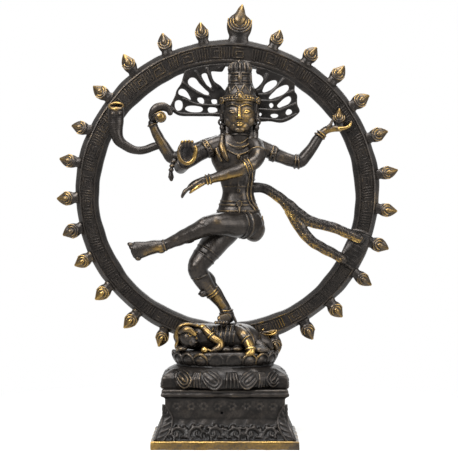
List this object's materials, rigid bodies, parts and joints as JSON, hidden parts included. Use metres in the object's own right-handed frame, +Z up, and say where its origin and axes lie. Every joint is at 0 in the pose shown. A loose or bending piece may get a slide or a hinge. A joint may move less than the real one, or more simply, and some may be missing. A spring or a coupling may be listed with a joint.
{
  "type": "brass nataraja statue",
  "caption": "Cast brass dancing figure inside a ring of flames, standing on a dwarf and a lotus seat that lifts off a hollow plinth.",
  "frame": {"origin": "on the floor under the ring's axis, in the middle of the object's box", "axes": "+Z up, the front faces -Y, +X to the viewer's right"},
  "size_m": [0.2288, 0.064, 0.2935],
  "materials": {
    "patina_brass": "dark patinated cast brass, satin",
    "rubbed_brass": "brass rubbed bright on its high points"
  },
  "bodies": {
    "base": {"plinth": "patina_brass", "corner_leaves": "patina_brass"},
    "image": {"lotus_seat": "patina_brass", "dwarf": "patina_brass", "halo_ring": "patina_brass", "ring_pins": "rubbed_brass", "rim_flames": "rubbed_brass", "crest_flame": "rubbed_brass", "torso": "patina_brass", "standing_leg": "patina_brass", "raised_leg": "patina_brass", "head": "rubbed_brass", "crown": "patina_brass", "earrings": "patina_brass", "left_hair": "patina_brass", "right_hair": "patina_brass", "drum_arm": "patina_brass", "drum": "rubbed_brass", "blessing_arm": "patina_brass", "arm_tassel": "patina_brass", "crossing_arm": "patina_brass", "flame_arm": "patina_brass", "hand_flame": "rubbed_brass", "serpent": "patina_brass", "sash": "patina_brass", "anklet_bell": "patina_brass"}
  },
  "joints": [
    {"name": "image_lift", "type": "slide", "parent": "base", "child": "image", "axis": [0, 0, 1], "range_m": [0, 0.03]}
  ]
}
